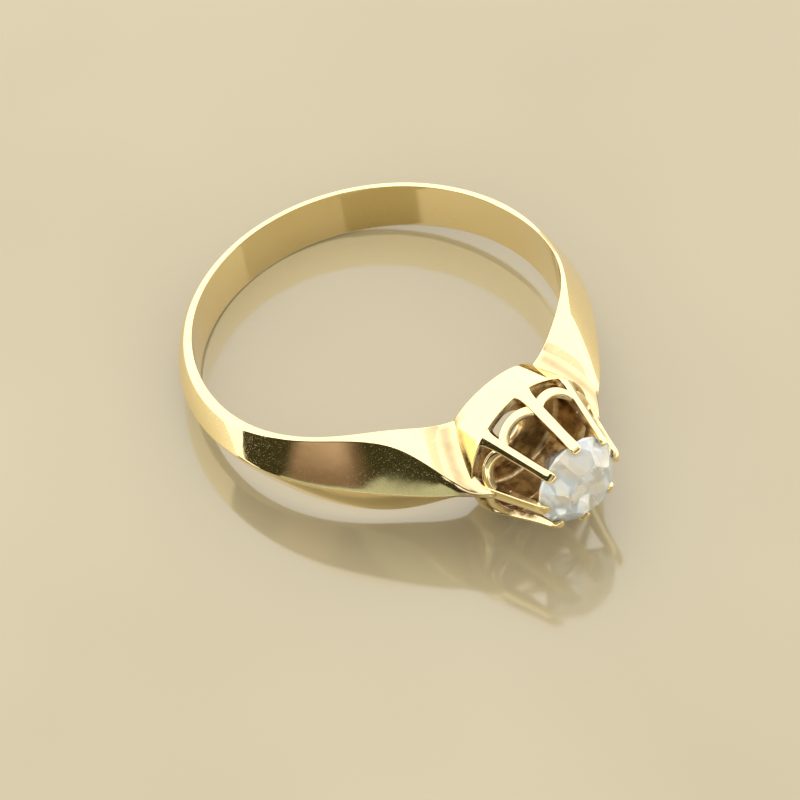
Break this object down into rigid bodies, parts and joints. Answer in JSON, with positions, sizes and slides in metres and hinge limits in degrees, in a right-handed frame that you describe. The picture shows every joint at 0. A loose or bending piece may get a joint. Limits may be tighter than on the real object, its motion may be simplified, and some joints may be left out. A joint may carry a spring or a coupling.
{
  "type": "engagement ring",
  "caption": "Finger ring with a knife-edge band whose faceted shoulders carry a coronet of claws, linked by small arches, that holds one round stone.",
  "frame": {"origin": "centre of the finger hole, on its axis and half-way across the band", "axes": "+Z along the finger hole, so the ring lies flat on XY; -Y towards the stone; +X towards the right shoulder seen from above with the stone nearest"},
  "size_m": [0.0192, 0.0241, 0.007],
  "materials": {
    "yellow_gold": "polished 14 carat yellow gold with fine wear scratches and softly worn edges",
    "gold_solder": "polished gold solder, slightly paler and softer than the gold beside it",
    "diamond": "clear, polished, old-cut facets"
  },
  "bodies": {
    "root": {"shank": "yellow_gold", "solder_left": "gold_solder", "solder_right": "gold_solder", "collar": "yellow_gold", "claw_1": "yellow_gold", "claw_2": "yellow_gold", "claw_3": "yellow_gold", "claw_4": "yellow_gold", "claw_5": "yellow_gold", "claw_6": "yellow_gold", "claw_7": "yellow_gold", "claw_8": "yellow_gold", "gallery_arch_1": "yellow_gold", "gallery_arch_2": "yellow_gold", "gallery_arch_3": "yellow_gold", "gallery_arch_4": "yellow_gold", "gallery_arch_5": "yellow_gold", "gallery_arch_6": "yellow_gold", "gallery_arch_7": "yellow_gold", "gallery_arch_8": "yellow_gold", "diamond": "diamond"}
  },
  "joints": []
}
